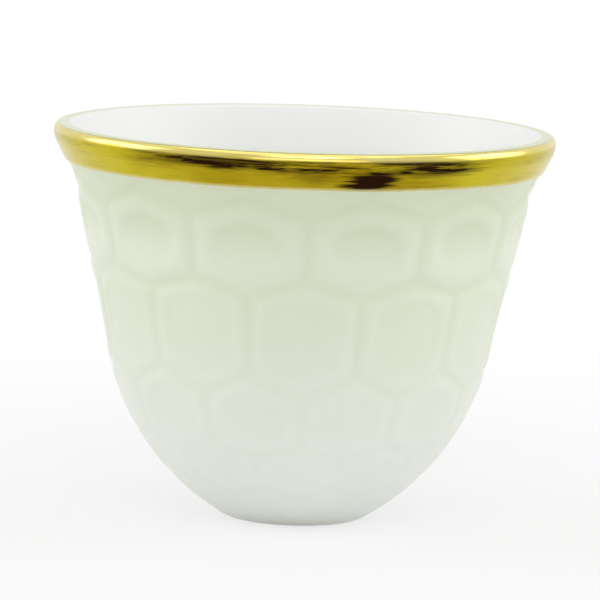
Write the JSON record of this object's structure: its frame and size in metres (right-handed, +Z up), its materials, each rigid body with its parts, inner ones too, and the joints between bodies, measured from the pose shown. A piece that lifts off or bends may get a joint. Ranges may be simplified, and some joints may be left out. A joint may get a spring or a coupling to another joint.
{
  "type": "coffee cup",
  "caption": "Small handleless porcelain coffee cup with a flared gilt rim, a honeycomb relief on the outside and a narrow rounded foot.",
  "frame": {"origin": "centre of the standing ring, on the surface that the cup stands on", "axes": "+Z up along the cup's turning axis; -Y is the side that the picture looks at"},
  "size_m": [0.0638, 0.0638, 0.0501],
  "materials": {
    "bare_porcelain": "bare fired clay, matt",
    "glaze": "clear gloss glaze over white porcelain, faintly green where it is thick",
    "gold": "bright fired gold"
  },
  "bodies": {
    "root": {"porcelain_body": "bare_porcelain", "glaze_coat": "glaze", "base_glaze": "glaze", "gold_rim_band": "gold"}
  },
  "joints": []
}
